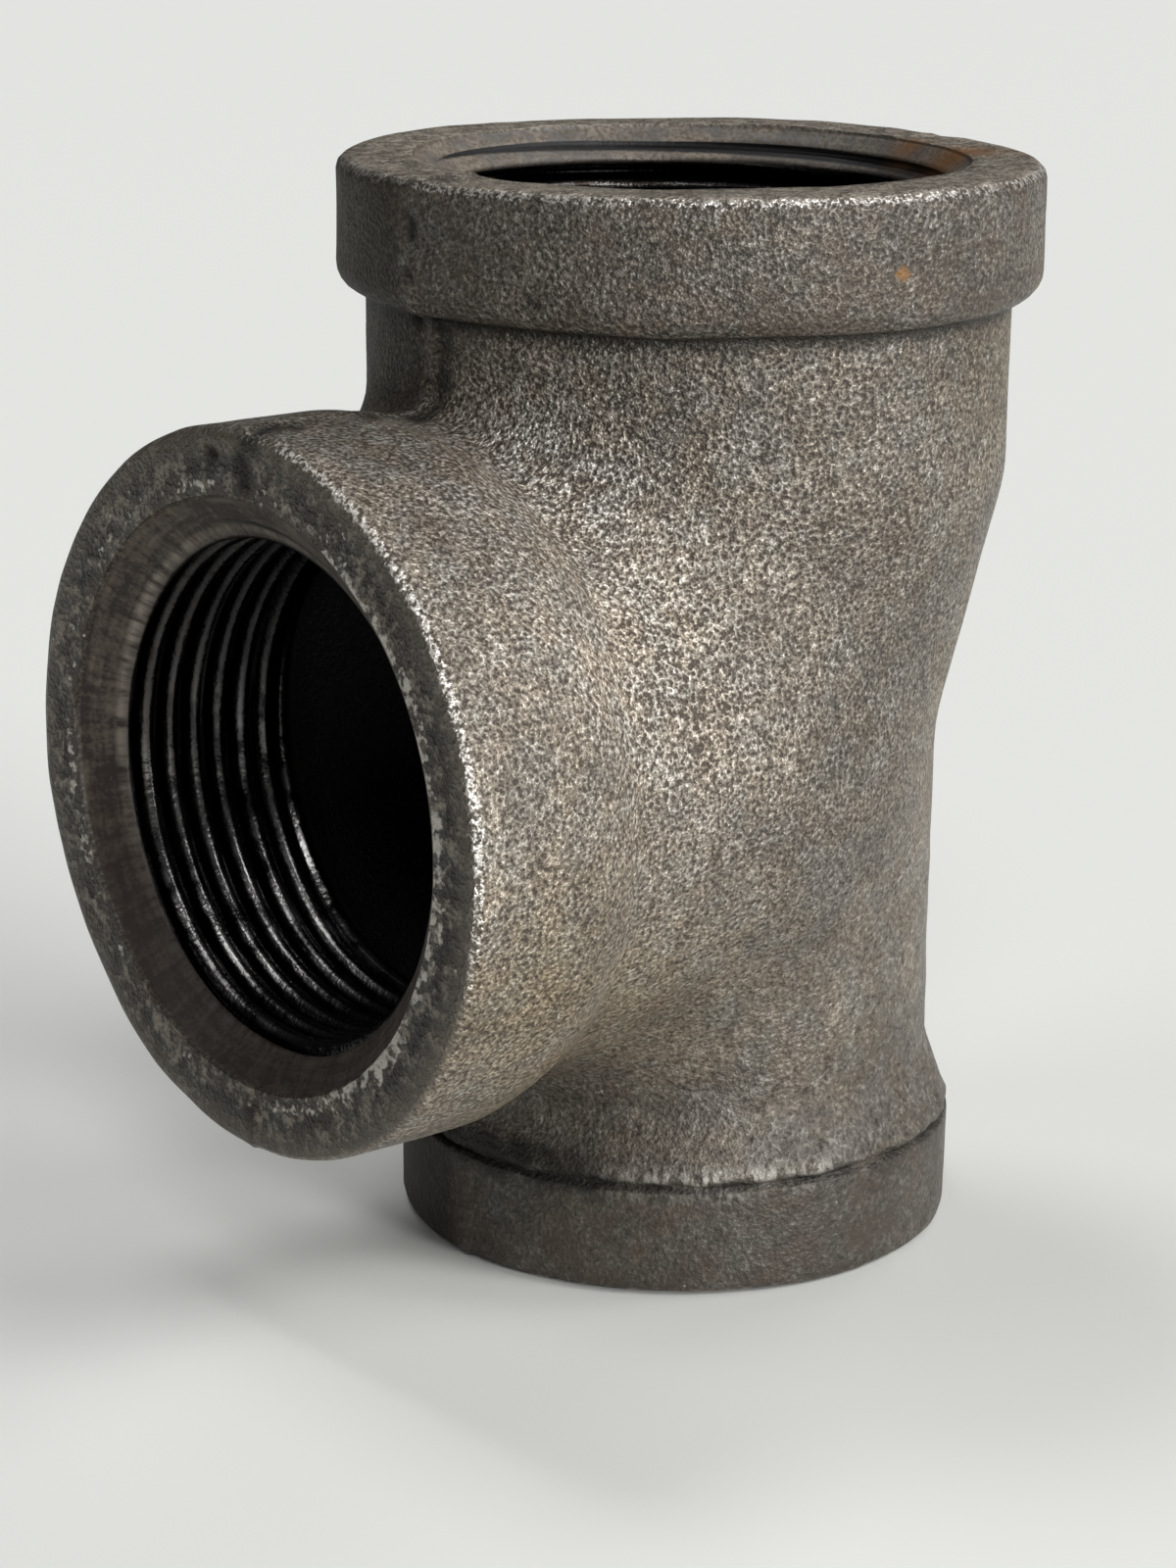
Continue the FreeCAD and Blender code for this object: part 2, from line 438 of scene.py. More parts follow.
def on_branch(y, inside):
    """Rows of the branch, or of its round root, where the radius is sqrt(r^2 - beyond^2)."""
    y = y + np.zeros(rim_count)
    beyond = np.maximum(y - ROOT_REACH, 0)
    full = branch_radius(np.minimum(y, ROOT_REACH), inside)
    return arm_rows(np.sqrt(np.maximum(full**2 - beyond**2, 0)), y)


def crease(inside):
    """Where each column of the branch first meets the run, going in."""
    steps = np.linspace(-33, 8, 800)
    outside = run_distance(on_branch(steps[:, None], inside), inside)
    first = np.argmax(outside < 0, axis=0)
    columns = np.arange(rim_count)
    after = outside[first, columns]
    before = outside[first - 1, columns]
    return steps[first - 1] + (steps[1] - steps[0]) * before / (before - after)


skin_crease = crease(False)
core_crease = crease(True)
skin_meets = on_branch(skin_crease, False)
core_meets = on_branch(core_crease, True)
print("meeting line from y", skin_crease.min().round(1), "to", skin_crease.max().round(1))

# %% [markdown]
# Rows are now laid from the rim to the meeting line, and from there out to the band. They start
# out on the bare pipes, and settling moves them onto the fillet.

# %% Strip of the branch


def between(start, end, count):
    """Shares of the way from start to end, both left out, as one row for each share."""
    share = np.arange(1, count)[:, None] / count
    return start + (end - start) * share


def turn_of(places):
    """Angle round the run, with its jump put on the side away from the branch."""
    jump = math.pi / 2
    return jump + np.mod(np.arctan2(places[:, 1], places[:, 0]) - jump, math.tau)


def run_side(rim_place, crease_points, inside, count):
    """Rows on the run from the rim to the crease, even in angle and height."""
    start = run_points[rim_place]
    angle = between(turn_of(start), turn_of(crease_points), count)
    height = between(start[:, 2], crease_points[:, 2], count)
    radius = run_radius(height, inside)
    return np.stack([radius * np.cos(angle), radius * np.sin(angle), height], -1)


BAND_START = -34.0
INNER_START = -23.2
SIDE_ROWS, ROOT_ROWS = 14, 28
INNER_ROOT_ROWS, INNER_SIDE_ROWS = 10, 9
outer_side = run_side(skin_rim, skin_meets, False, SIDE_ROWS)
outer_root = on_branch(between(skin_crease, np.full(rim_count, BAND_START), ROOT_ROWS), False)
sleeve = settle(np.concatenate([outer_side, skin_meets[None], outer_root]), False)

band_path = branch_skin[branch_skin[:, 1] < BAND_START + 0.05]
band = arm_rows(band_path[:, :1], band_path[:, 1:])
mouth = mouths["branch"]
depth = np.arange(THREAD_STEP, mouth["length"], THREAD_STEP)[:, None]
tapped = arm_rows(mouth_radius(depth, round_branch[None, :] / math.tau, **mouth), FACE + depth)

inner_ring = on_branch(INNER_START, True)
inner_root = on_branch(between(np.full(rim_count, INNER_START), core_crease, INNER_ROOT_ROWS), True)
inner_side = run_side(core_rim, core_meets, True, INNER_SIDE_ROWS)[::-1]
throat = settle(np.concatenate([inner_root, core_meets[None], inner_side]), True)

parts_of_branch = [
    ("skin", sleeve),
    ("skin", band),
    ("cut", tapped),
    ("core", inner_ring[None]),
    ("core", throat),
]
branch_points = np.concatenate([rows for _, rows in parts_of_branch])
branch_kinds = np.concatenate([[kind] * len(rows) for kind, rows in parts_of_branch])
print("rows of the branch", len(branch_points), "columns", rim_count)

# %% [markdown]
# ## Sewing the mesh
# Four neighbours of a grid make a face. The run's faces inside a window are left out, and the
# strip's first and last rows are the rims' own points, so the skin is closed without a seam.

# %% Faces
first_branch = run_points.shape[0] * COLUMNS
branch_index = first_branch + np.arange(branch_points.shape[0] * rim_count).reshape(-1, rim_count)
strip = np.concatenate([
    run_index[skin_rim[0], skin_rim[1]][None],
    branch_index,
    run_index[core_rim[0], core_rim[1]][None],
])


def grid_faces(index):
    """One face for each place of a grid that closes on itself along its columns."""
    side = np.roll(index, -1, axis=1)
    return np.stack([index[:-1], index[1:], side[1:], side[:-1]], -1)


run_faces = grid_faces(np.concatenate([run_index, run_index[:1]]))
keep = np.ones(run_faces.shape[:2], bool)
open_columns = (np.arange(WINDOW_COLUMNS) + middle_column - half_columns) % COLUMNS
keep[np.ix_(np.arange(WINDOW_ROWS), open_columns)] = False
keep[np.ix_(core_start + np.arange(WINDOW_ROWS), open_columns)] = False
faces = np.concatenate([run_faces[keep], grid_faces(strip).reshape(-1, 4)[:, ::-1]])
points = np.concatenate([run_points.reshape(-1, 3), branch_points.reshape(-1, 3)])
kinds = np.concatenate([np.repeat(run_kinds, COLUMNS), np.repeat(branch_kinds, rim_count)])

used, faces = np.unique(faces, return_inverse=True)
faces = faces.reshape(-1, 4)
points = points[used]
kinds = kinds[used]
print("points", len(points), "triangles", 2 * len(faces))

# %% [markdown]
# ## The waviness of a casting
# Sand gives way a little under the metal, so no cast wall is quite even. Smooth noise at three
# sizes, the finer the lower, moves the skin along its normal. The two halves of the mould also
# meet a little out of line, and metal creeps into the joint as a thin raised line.

# %% Uneven skin


def lattice_noise(places, size, seed):
    """Smooth noise between -1 and 1: random values on a lattice of this size, blended between."""
    table = np.random.default_rng(seed).uniform(-1, 1, (16, 16, 16))
    scaled = places / size
    cell = np.floor(scaled).astype(int)
    share = scaled - cell
    share = share * share * (3 - 2 * share)
    total = np.zeros(len(places))
    for corner in np.ndindex(2, 2, 2):
        weight = np.prod(np.where(corner, share, 1 - share), axis=1)
        spot = (cell + corner) % 16
        total += weight * table[spot[:, 0], spot[:, 1], spot[:, 2]]
    return total


def normals_of(places, quads):
    """The normal at each point: the sum of its faces' normals, made one long."""
    corners = places[quads]
    across = np.cross(corners[:, 2] - corners[:, 0], corners[:, 3] - corners[:, 1])
    total = np.zeros_like(places)
    for place in range(4):
        np.add.at(total, quads[:, place], across)
    return total / np.maximum(np.linalg.norm(total, axis=1, keepdims=True), 1e-12)


def dents(spots):
    """Nearness to the closest spot: 1 in its middle, 0 from its radius on, rounded between."""
    deep = np.zeros(len(points))
    for *centre, radius in spots:
        away = np.linalg.norm(points - centre, axis=1) / radius
        deep = np.maximum(deep, np.clip(1 - away**2, 0, 1))
    return deep


normals = normals_of(points, faces)
outside_skin = kinds == "skin"
print("average normal", normals.mean(axis=0).round(2))

# %% [markdown]
# Four things move the skin: the waves, the raised parting line with its small step, a ragged bead
# of metal in the crease above the lower band, and single pits. The cut places stay true.

# %% Lift of the skin
WAVES = [(0.11, 11, 1), (0.07, 4.5, 2), (0.04, 2.0, 3)]  # height, size and seed of each
PIT_DEPTH = 0.45
PARTING_WIDTH = 0.55
PARTING_STEP = 0.1
BEAD_WIDTH = 0.7
# x, y, z and radius of each pit
pit_spots = [
    (0.0, -27.6, 41.2, 0.5), (0.2, -27.6, 40.3, 0.45), (0.1, -27.6, 37.6, 0.5),
    (0.4, -27.6, 36.9, 0.4), (-0.1, -27.6, 41.0, 0.5), (-2.2, -25.3, 33.6, 0.8),
    (11.1, -25.2, 36.2, 0.5), (0.4, -25.3, 27.9, 0.5), (-0.4, -25.3, 29.4, 0.5),
    (-4.6, -21.9, -32.3, 0.9), (-3.4, -21.9, -32.4, 0.6), (-3.4, -43.3, 25.4, 0.9),
    (0.0, -43.3, 25.5, 0.8), (0.3, -43.3, 24.1, 1.1),
]
pits = outside_skin * dents(pit_spots)
waviness = sum(height * lattice_noise(points, size, seed) for height, size, seed in WAVES)
cast = np.where(kinds == "cut", 0.0, 1.0)
on_upper_neck = (points[:, 2] > 24) & (points[:, 2] < 34)
ridge_height = np.where(on_upper_neck, 0.28, 0.14) + 0.08 * lattice_noise(points, 3, 4)
parting = np.exp(-((points[:, 0] / PARTING_WIDTH) ** 2)) * ridge_height
step = np.where(points[:, 0] < 0, PARTING_STEP, 0.0)
from_bead = np.hypot(np.hypot(points[:, 0], points[:, 1]) - 22.4, points[:, 2] + 32.3)
bead = np.exp(-((from_bead / BEAD_WIDTH) ** 2)) * (0.06 + 0.34 * lattice_noise(points, 1.3, 5))
lift = cast * waviness + outside_skin * (parting + step + bead) - PIT_DEPTH * pits
points = points + normals * lift[:, None]
print("skin moved by", round(float(lift.min()), 2), "to", round(float(lift.max()), 2), "mm")

# %% [markdown]
# The arrays now become one mesh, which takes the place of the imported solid. Its object stays at
# the origin, unturned, so that its own coordinates are the part's.

# %% Mesh


def make_mesh(name, places, quads):
    """A smooth mesh of these places, given in millimetres, and its object."""
    mesh = bpy.data.meshes.new(name)
    mesh.from_pydata((places * MM).tolist(), [], quads.tolist())
    mesh.polygons.foreach_set("use_smooth", np.ones(len(quads), bool))
    mesh.update()
    piece = bpy.data.objects.new(name, mesh)
    bpy.context.scene.collection.objects.link(piece)
    return piece


casting = make_mesh("iron_casting", points, faces)
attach(casting, "root")
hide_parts("tee_casting")
print("casting has", len(casting.data.polygons), "faces")

# %% [markdown]
# ## What each place of the skin is
# The finish changes along the part, so the mesh carries a few numbers for the material to read:
# how coarse the sand was, where a tool has cut, how worn an edge is, how far down a bore lies, and
# where light and shade are painted into the colour.

# %% Attributes


def store(name, values):
    """Gives the casting a number for each point."""
    attribute = casting.data.attributes.new(name, "FLOAT", "POINT")
    attribute.data.foreach_set("value", np.asarray(values, np.float32))


def ramp(values, start, end):
    """0 at start, 1 at end, and an S-shaped climb s * s * (3 - 2 s) between."""
    share = np.clip((values - start) / (end - start), 0, 1)
    return share * share * (3 - 2 * share)


def cloud(*spots):
    """A soft patch round each (x, y, z, radius), 1 in its middle: exp(-(away / radius)^2)."""
    return np.maximum.reduce([
        np.exp(-(np.linalg.norm(points - centre, axis=1) / radius) ** 2)
        for *centre, radius in spots
    ])


def near_ring(radius, along, ring_radius, ring_place, reach):
    """1 on a ring round an axis, and exp(-(away / reach)^2) away from it."""
    return np.exp(-(np.hypot(radius - ring_radius, along - ring_place) / reach) ** 2)


x, y, z = points.T
round_run = np.hypot(x, y)
round_arm = np.hypot(x, z)
turn_of_branch = np.arctan2(z, x)
on_branch_arm = (y < -34) & (round_arm < 29)
print("points on the branch's band and mouth", int(on_branch_arm.sum()))

# %% [markdown]
# First come the numbers that say what a place is: a band, an end face, an outer edge, a cut or
# the rough core. Edges stick out, so they are the first to be rubbed to bare metal. The branch's
# edge is also painted brighter towards its upper +X side, where the lamps are, as highlight.

# %% Bands, faces and edges


def lip(radius, along, full_radius, face):
    """Nearness to the outer edge of a mouth, 1 on it and 0 from 1.2 mm away."""
    away = np.hypot(radius - full_radius + 0.35, along - face + 0.35)
    return np.clip(1 - away / 1.2, 0, 1)


# painted highlight: the branch's edge is brightest towards the upper +X side, which the lamps light
branch_edge_light = 0.45 + 0.55 * ramp(np.cos(turn_of_branch - 0.6), 0.3, 0.8)
edge_wear_and_highlight = np.maximum.reduce([
    lip(round_run, z, LARGE_BAND, UPPER),
    0.5 * lip(round_run, -z, SMALL_BAND, -LOWER),
    lip(round_arm, -y, LARGE_BAND, -FACE) * branch_edge_light,
])
below_face = np.minimum.reduce([np.abs(UPPER - z), np.abs(z - LOWER), np.abs(y - FACE)])
upper_face = ramp(z, UPPER - 0.5, UPPER - 0.2)
face = outside_skin * np.maximum.reduce([
    upper_face,
    ramp(-y, -FACE - 0.5, -FACE - 0.2) * (round_arm < 28.5),
    ramp(-z, -LOWER - 0.5, -LOWER - 0.2),
])
store("band", 0.6 * ramp(z, 34.2, 35.2) + ramp(-z, 32.9, 33.6))
store("face", face)
store("edge", edge_wear_and_highlight)
store("cut", kinds == "cut")
store("core", kinds == "core")
store("depth_in", np.where(outside_skin, 0, below_face))
store("upper_mouth", z > 38)
# darker towards the bottom of the branch's mouth
store("darker_low_in_mouth", ramp(-z, -2, 14) * on_branch_arm)
print("points on end faces", int((face > 0.5).sum()))

# %% [markdown]
# The grooves of a thread are painted black as shade, and its crests are left lighter. The same
# formula that cut the thread tells how deep in a groove each point lies.

# %% Places on the thread
LIP_SHARE = 0.16
LIP_WIDTH = 0.32


def thread_places():
    """How deep in a groove each cut point lies, and how near the outer lip of a crest it is.

    The depth is 0 on a crest or countersink and 1 at the root. The lip is the top of the flank
    that looks out of the mouth, which is where the pipes rub.
    """
    groove_shares = np.zeros(len(points))
    lips = np.zeros(len(points))
    places = {
        "upper": ((z > 0) & ~on_branch_arm, UPPER - z, np.arctan2(y, x), round_run),
        "lower": ((z < 0) & ~on_branch_arm, z - LOWER, -np.arctan2(y, x), round_run),
        "branch": (on_branch_arm | (y < -25), y - FACE, turn_of_branch, round_arm),
    }
    for name, (here, depth, angle, radius) in places.items():
        mouth = mouths[name]
        here = here & (kinds == "cut")
        turn = angle / math.tau
        share = hollow(depth, turn, mouth["length"])
        sink_radius, sink_depth = mouth["sink"]
        countersink = sink_radius - depth * (sink_radius - mouth["bore"]) / sink_depth
        beyond = np.clip((radius - countersink) / 0.4, 0, 1)
        outer_flank = share > hollow(depth + THREAD_STEP / 2, turn, mouth["length"]) + 0.02
        rubbed = np.clip(1 - np.abs(share - LIP_SHARE) / LIP_WIDTH, 0, 1) * outer_flank * beyond
        groove_shares = np.where(here, share * beyond, groove_shares)
        lips = np.where(here, rubbed, lips)
    return groove_shares, lips


groove_depth, crest_lips = thread_places()
store("groove", groove_depth)
store("crest_lip", crest_lips)
# painted highlight: crests low on the -X side of the branch's bore are painted lighter as glints
store("thread_glint_patch", cloud((-14, -38, -12, 11), (-14, -30, -12, 11)))
store("tan_ring", 0.25 + 0.75 * cloud((-17, -41, 10, 15)))
print("points in grooves", int((groove_depth > 0.5).sum()))

# %% [markdown]
# No skin is evenly dark. Light and shade are painted into the skin's colour here: painted
# highlights on the middle of the body, on the crotch and beside the branch's rim, and painted
# shade on the upper neck and band, on the lower neck and on the +X flank of the body. The half of
# the mould on the -X side, away from the lamps, is painted darker as shade too; its own skin there
# is also finer and more olive. The patches are soft, so that no border shows between them.

# %% Painted light and shade on the skin
FAR_HALF_SHADE = 0.68
# how much lighter as painted light, or darker as painted shade where it is below nought, and
# x, y, z and radius of each patch it applies to
PAINTED_LIGHT_PATCHES = [
    (0.50, [(17, -27, 18, 10)]),
    (0.75, [(21, -22, 9, 10)]),
    (0.32, [(9.5, -28, 25.5, 8)]),
    (0.20, [(26, -35, 9, 8), (23, -21.5, -10, 7)]),
    (0.20, [(24.5, -4, 30, 7)]),
    (-0.22, [(23.6, -1, 6, 9), (23.4, -5, -8, 8)]),
    (-0.22, [(9, -24, 40, 12), (12, -22, 31, 10)]),
    (0.15, [(9, -24, 26, 8), (14, -26, 22, 7)]),
    (-0.35, [(9, -18.6, -28, 7)]),
]
# painted shade on the -X half, which faces away from the lamps
far_half = ramp(-x, -0.5, 2.5) * ramp(y, -37, -28) * ramp(-y, 2, 17)
# painted highlight beside the rim of the branch's mouth, on its upper +X side
branch_rim_highlight = near_ring(round_arm, y, LARGE_BAND, FACE + 1.3, 1.5) * ramp(x, 3, 9) * ramp(z, -16, -4)
painted_patches = 0.99 + 0.20 * branch_rim_highlight
painted_patches = painted_patches + sum(share * cloud(*spots) for share, spots in PAINTED_LIGHT_PATCHES)
# painted shade on the upper neck and band and on the lower neck, and painted light on the branch
light = (
    1.0
    - 0.16 * ramp(z, 22, 30)
    - 0.36 * ramp(-z, 18, 28) * (y > -30)
    + 0.12 * ramp(-y, 24, 30) * (np.abs(z) < 30)
)
light = light * (1 - FAR_HALF_SHADE * far_half) * painted_patches
store("light", np.where(face > 0.3, 1.0, light))
tan_patches = cloud((19, -27, -19, 11), (25, -36, -10, 9), (19, 17, 2, 9), (22, 16, 30, 9))
store("tan", np.maximum(far_half, tan_patches))
# a painted sheen on the crotch, brighter and a little blue
store("crotch_sheen", cloud((9, -24, 26, 8), (14, -26, 22, 7)))

# the grain is finer low down and on the back, and coarser beside the branch
fine_low = ramp(-z + 0.3 * y, -4, 26) * (y > -34)
coarse = cloud((12, -27, 22, 11), (21, -22, 10, 9))
store("smooth", np.maximum(fine_low, 0.25 * far_half) - 0.8 * coarse)
print("lightness from", round(float(light.min()), 2), "to", round(float(light.max()), 2))

# %% [markdown]
# Creases are painted dark as shade: under the upper band, above the lower band, under the branch
# and beside the parting line. What stands up beside the lower crease is painted bright as highlight
# on the side facing the lamps, and stands for rubbed metal too. Most of them are rings round an
# axis, made ragged by noise, because an even ring looks painted on.

# %% Painted shade in creases, painted highlight rings, and rust


def ragged(middle, times, size, seed):
    """Noise that multiplies a ring to make it ragged."""
    return middle + times * lattice_noise(points, size, seed)


# painted shade in the creases under the upper band, above the lower band, under the branch and
# beside the parting line
upper_crease_shade = near_ring(round_run, z, LARGE_NECK + 0.1, 34.0, 0.75)
lower_crease_shade = 1.3 * near_ring(round_run, z, 22.2, -32.95, 0.6) * ragged(0.7, 0.9, 1.3, 6)
under_branch = ramp(-x, -16, -8) * ramp(x, -9, -5) * (y < 0)
wide_crease_shade = 1.6 * near_ring(round_run, z, 22.3, -32.0, 1.7) * ragged(0.75, 0.7, 1.3, 6)
parting_shade = ramp(x, -0.1, 0.4) * ramp(-x, -3.0, -1.2) * ramp(z, 21, 24) * (y < 0)
parting_shade = parting_shade * np.where(z < 34.3, 1.1, 0.6) * ragged(0.6, 0.9, 1.4, 9)
crease_shading = outside_skin * (
    upper_crease_shade + lower_crease_shade + wide_crease_shade * under_branch + parting_shade
)
store("crease", np.clip(crease_shading, 0, 1))

# painted highlight on the bead and the lower band's top edge, only on the front +X side facing the
# lamps; it stands for rubbed metal too
bead_highlight = near_ring(round_run, z, 22.4, -32.2, 0.48) * ragged(0.75, 0.8, 1.3, 5)
band_edge_highlight = 0.8 * near_ring(round_run, z, SMALL_BAND, -33.6, 0.3) * ragged(0.5, 0.8, 3, 8)
lit_side = outside_skin * ramp(x, 6, 13) * ramp(-y, -1, 6)
store("rub", np.clip((bead_highlight + band_edge_highlight) * lit_side, 0, 1))

worn_ring = near_ring(round_arm, y, 22.9, FACE, 0.9) * ramp(np.cos(turn_of_branch), 0.1, 0.6)
inner_chips = 0.55 * near_ring(round_arm, y, 23.4, FACE, 0.7)
store("chips", outside_skin * np.maximum(worn_ring, inner_chips))
store("face_dark", outside_skin * near_ring(round_arm, y, 24.6, FACE, 1.0) * (y < FACE + 0.6))
store("face_outer", ramp(round_arm, 25.0, 26.4) * (y < FACE + 1.5))
store("sand", outside_skin * upper_face)
store("rust", cloud((10.5, 19.2, 43.6, 3.2), (3.0, 21.5, 43.4, 1.6)))
store("pit", pits)
print("darkest crease", round(float(crease_shading.max()), 2))

# %% [markdown]
# Tool marks run round a bore, and stitches of painted highlight, standing for bare metal too, round
# a band. Noise on the place itself would cut across them, so the mesh also carries a direction:
# where each point lies round its own axis, on a circle of one fixed radius.

# %% Place round the axis
AROUND_RADIUS = 22
around = np.where(
    on_branch_arm[:, None],
    np.stack([x, np.zeros_like(y), z], -1) / np.maximum(round_arm, 1)[:, None],
    np.stack([x, y, np.zeros_like(z)], -1) / np.maximum(round_run, 1)[:, None],
)
attribute = casting.data.attributes.new("around", "FLOAT_VECTOR", "POINT")
attribute.data.foreach_set("vector", (around * AROUND_RADIUS * MM).astype(np.float32).ravel())
print("attributes", len(casting.data.attributes))

# %% [markdown]
# ## Building a finish from nodes
# A finish is a chain of nodes. Small helpers keep it readable: they add a node, do a sum, mix two
# values or two colours, make noise, or read a number that the mesh carries. A socket takes either
# a plain value or a link from another node. Sizes are given in millimetres.

# %% Helpers for finishes
iron = bpy.data.materials.new("black_iron")
iron.use_nodes = True
tree = iron.node_tree
tree.nodes.clear()


def connect(value, socket):
    """Links a value that another node gives, or sets a plain one."""
    if isinstance(value, bpy.types.NodeSocket):
        tree.links.new(value, socket)
    else:
        socket.default_value = value


def add(kind, settings=None, **sockets):
    """A node. A socket is named in small letters with _ for a space."""
    made = tree.nodes.new(kind)
    for name, value in (settings or {}).items():
        setattr(made, name, value)
    open_sockets = [socket for socket in made.inputs if socket.enabled]
    for name, value in sockets.items():
        connect(value, next(s for s in open_sockets if s.name.lower().replace(" ", "_") == name))
    return made


def maths(operation, first, second=0.0, clamp=False):
    """The result of one sum on two values."""
    made = add("ShaderNodeMath", {"operation": operation, "use_clamp": clamp})
    connect(first, made.inputs[0])
    connect(second, made.inputs[1])
    return made.outputs[0]


def times(first, second):
    """One value times another."""
    return maths("MULTIPLY", first, second)


def total(*shares, clamp=False):
    """Sum of values, each times its own number."""
    last = None
    for value, share in shares:
        part = times(value, share)
        last = part if last is None else maths("ADD", last, part, clamp)
    return last


def blended(share, first, second):
    """Value between first, where share is 0, and second, where it is 1. A share may pass these."""
    made = add("ShaderNodeMix", {"clamp_factor": False})
    for place_in_node, value in ((0, share), (2, first), (3, second)):
        connect(value, made.inputs[place_in_node])
    return made.outputs[0]


def mixed(share, first, second, blend="MIX"):
    """Colour between first, where share is 0, and second, where it is 1."""
    made = add("ShaderNodeMix", {"data_type": "RGBA", "blend_type": blend})
    for place_in_node, value in ((0, share), (6, first), (7, second)):
        connect(value, made.inputs[place_in_node])
    return made.outputs[2]


def tinted(share, colour, tint):
    """The colour times the tint, where share is 1."""
    return mixed(share, colour, tint, "MULTIPLY")


def rise(value, start, end):
    """0 below start, 1 above end, and an even climb between."""
    return add("ShaderNodeMapRange", value=value, from_min=start, from_max=end).outputs[0]


def noise(where, size, detail=2.0, roughness=0.5, seed=0.0):
    """Soft noise around 0.5 with lumps of about this size. The seed may change along the part."""
    return add(
        "ShaderNodeTexNoise", {"noise_dimensions": "4D"},
        vector=where, w=seed, scale=1 / (size * MM), detail=detail, roughness=roughness,
    ).outputs[0]


def carried(name):
    """A number that the mesh carries."""
    return add("ShaderNodeAttribute", {"attribute_name": name}).outputs["Fac"]


# %% [markdown]
# ## Black iron
# The skin is iron oxide over sand-cast metal. Each grain of sand left a pit of about a third of a
# millimetre, and the ridges between the pits are rubbed to bare grey metal that glints. So one
# noise gives both the height and the colour: high places are light and glossy, low ones dark,
# which is painted shade in the pits.

# %% Grain of the skin
place = add("ShaderNodeTexCoord").outputs["Object"]
grain = noise(place, 0.36, 1, 0.5)
fine = noise(place, 0.17, 1, 0.5, 2)
medium = noise(place, 0.7, 2, 0.5, 4)
chunks = noise(place, 1.1, 3, 0.6, 15)
lumps = noise(place, 1.5, 2, 0.55, 3)
tint = noise(place, 3.0, 2, 0.6, 11)
patches = noise(place, 6.0, 3, 0.6, 5)

band_here = carried("band")
face_here = carried("face")
smooth_here = carried("smooth")
calm = total((band_here, -0.2), (smooth_here, -0.4), (1.0, 1.0))
grain_height = times(total((grain, 0.36), (fine, 0.12)), calm)
skin_height = total((grain_height, 1.0), (lumps, 0.16), (times(chunks, face_here), 0.5))
print("nodes for the grain", len(tree.nodes))

# %% [markdown]
# The colour climbs with the height, from dark gaps over warm grey to rubbed ridges. Where the
# sand was fine, a coarser and softer noise takes over. Bands are browner and duller.

# %% Colours of the skin
DARK_GAP = (0.034, 0.027, 0.021, 1)
WARM_GREY = (0.148, 0.130, 0.107, 1)
RUBBED = (0.41, 0.385, 0.350, 1)
OLIVE_GREY = (0.040, 0.034, 0.027, 1)
BAND_BROWN = (0.075, 0.055, 0.042, 1)
COOL = (0.98, 1.00, 1.01, 1)
WARM = (1.04, 0.99, 0.93, 1)
TAN_TINT = (1.06, 0.99, 0.84, 1)
CROTCH_SHEEN_TINT = (1.12, 1.14, 1.17, 1)
raw_top = total((grain, 0.56), (fine, 0.28), (lumps, 0.10), (patches, 0.06))
coarse_top = total((medium, 0.46), (lumps, 0.08), (1.0, 0.25))
top = blended(times(smooth_here, 0.5), raw_top, coarse_top)
# the dark gaps are painted shade in the pits of the grain
skin_colour = mixed(rise(top, 0.41, 0.51), DARK_GAP, WARM_GREY)
skin_colour = mixed(rise(top, 0.52, 0.64), skin_colour, RUBBED)
skin_colour = tinted(1.0, skin_colour, mixed(rise(tint, 0.4, 0.6), COOL, WARM))
dull = total((rise(patches, 0.6, 0.4), 0.2), (band_here, 0.36), clamp=True)
skin_colour = mixed(dull, skin_colour, OLIVE_GREY)
brown_here = times(times(band_here, rise(tint, 0.47, 0.62)), 0.45)
skin_colour = mixed(brown_here, skin_colour, BAND_BROWN)
skin_colour = tinted(carried("tan"), skin_colour, TAN_TINT)
# the crotch is tinted brighter as a painted sheen
skin_colour = tinted(carried("crotch_sheen"), skin_colour, CROTCH_SHEEN_TINT)
print("nodes with the skin", len(tree.nodes))

# %% [markdown]
# The end faces have a finish of their own. The branch's is dark and mottled, with an olive rim and
# a ring of dirt, and the upper one looks sandy.

# %% End faces
FACE_BROWN = (0.050, 0.036, 0.028, 1)
FACE_SLATE = (0.040, 0.038, 0.033, 1)
FACE_SPECK = (0.19, 0.168, 0.135, 1)
FACE_DIRT = (0.012, 0.010, 0.008, 1)
FACE_OLIVE = (0.090, 0.078, 0.060, 1)
SAND_DARK = (0.10, 0.086, 0.066, 1)
SAND_LIGHT = (0.31, 0.275, 0.228, 1)
mottle = total((chunks, 0.7), (grain, 0.3))
face_colour = mixed(rise(tint, 0.42, 0.58), FACE_BROWN, FACE_SLATE)
face_colour = mixed(rise(mottle, 0.50, 0.62), face_colour, FACE_SPECK)
dark_ring = times(carried("face_dark"), rise(chunks, 0.56, 0.44))
face_colour = mixed(dark_ring, face_colour, FACE_DIRT)
face_colour = mixed(times(carried("face_outer"), 0.6), face_colour, FACE_OLIVE)
sandy = mixed(rise(total((lumps, 0.5), (grain, 0.5)), 0.42, 0.60), SAND_DARK, SAND_LIGHT)
face_colour = mixed(carried("sand"), face_colour, sandy)
skin_colour = mixed(face_here, skin_colour, face_colour)
print("nodes with the end faces", len(tree.nodes))

# %% [markdown]
# Wear and painted light lie over all of that: stitches of painted highlight beside the lower
# crease, which stand for bare metal too, chips round the branch's mouth, painted shade in creases
# and pits, and bright edges, worn and painted as highlight. Last the colour is multiplied by the
# painted light and shade of the patches. The number that the mesh carries says where, and noise
# in it or added to it breaks it up, so that it doesn't draw a line.

